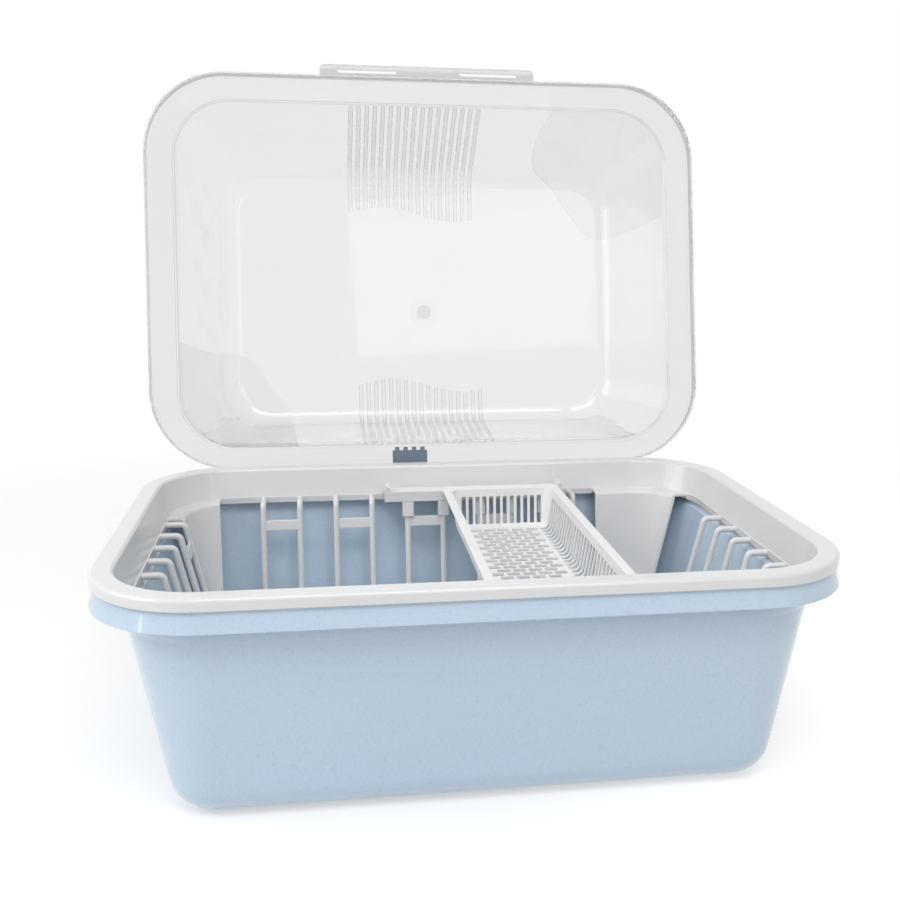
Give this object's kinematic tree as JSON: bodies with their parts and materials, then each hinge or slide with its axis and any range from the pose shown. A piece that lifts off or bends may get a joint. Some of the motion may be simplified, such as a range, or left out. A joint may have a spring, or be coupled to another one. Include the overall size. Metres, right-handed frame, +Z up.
{
  "type": "covered dish drainer",
  "caption": "Countertop dish drainer: oblong tub, drainer basket with ribbed windows, cutlery basket on cross rails and a clear cover that tips back on a rear hinge.",
  "frame": {"origin": "centre of the tub's flat foot, on the surface it stands on", "axes": "+X along the length to the right, +Y to the hinge at the back, +Z up"},
  "size_m": [0.5042, 0.494, 0.5145],
  "materials": {
    "tub_blue": "satin pale blue plastic with fine specks",
    "drainer_white": "satin white plastic",
    "bracket_white": "satin white plastic",
    "cutlery_white": "satin white plastic",
    "lid_clear": "clear glossy plastic",
    "clip_slate": "slate grey plastic"
  },
  "bodies": {
    "base": {"tub": "tub_blue"},
    "drainer": {"drainer_basket": "drainer_white", "rear_basket_bracket": "bracket_white", "front_basket_bracket": "bracket_white"},
    "cutlery": {"cutlery_basket": "cutlery_white"},
    "cover": {"lid": "lid_clear", "hinge_clip": "clip_slate"}
  },
  "joints": [
    {"name": "drainer_lift", "type": "slide", "parent": "base", "child": "drainer", "axis": [0, 0, 1], "range_m": [0, 0.15]},
    {"name": "cutlery_slide", "type": "slide", "parent": "drainer", "child": "cutlery", "axis": [-1, 0, 0], "range_m": [0, 0.0452]},
    {"name": "lid_hinge", "type": "hinge", "parent": "drainer", "child": "cover", "pos_m": [0, 0.1796, 0.1547], "axis": [1, 0, 0], "range_deg": [0, 101.9]}
  ]
}
